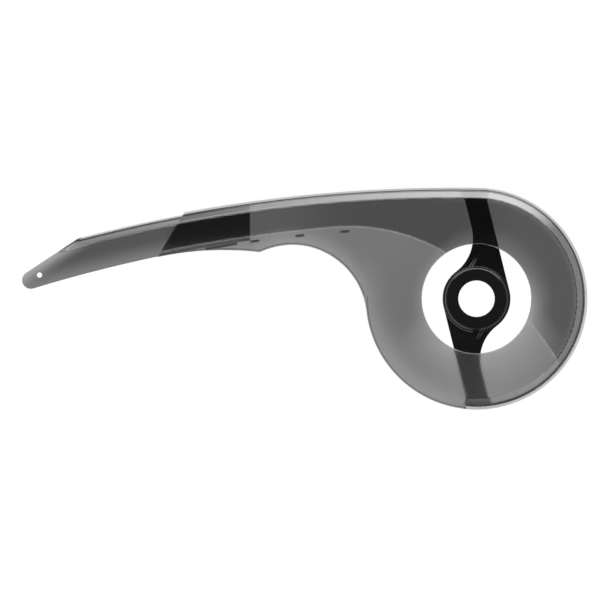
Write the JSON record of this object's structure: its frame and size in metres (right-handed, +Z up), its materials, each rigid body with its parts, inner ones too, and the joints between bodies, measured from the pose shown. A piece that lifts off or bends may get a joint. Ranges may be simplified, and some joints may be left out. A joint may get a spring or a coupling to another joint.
{
  "type": "bicycle chain guard",
  "caption": "Smoked clear chain guard: a round cover over the chainring, a long curved arm, a tail that telescopes out of the arm, and a black mount clamped at the bottom bracket.",
  "frame": {"origin": "on the bottom bracket axis, in the plane where the mount's ring seats on the frame", "axes": "+X forward on the bicycle, +Z up, -Y out from the bicycle towards the viewer"},
  "size_m": [0.5445, 0.0215, 0.2138],
  "materials": {
    "smoked_shell": "smoked clear plastic, polished above a fine border line and lightly textured below it",
    "smoked_tail": "smoked clear plastic, polished",
    "black_mount": "black moulded plastic with a soft sheen"
  },
  "bodies": {
    "guard": {"guard_shell": "smoked_shell", "bottom_bracket_mount": "black_mount"},
    "tail": {"tail_section": "smoked_tail"}
  },
  "joints": [
    {"name": "tail_slide", "type": "hinge", "parent": "guard", "child": "tail", "pos_m": [-0.02296, 0, -1.3156], "axis": [0, 1, 0], "range_deg": [-0.6, 3.7]}
  ]
}
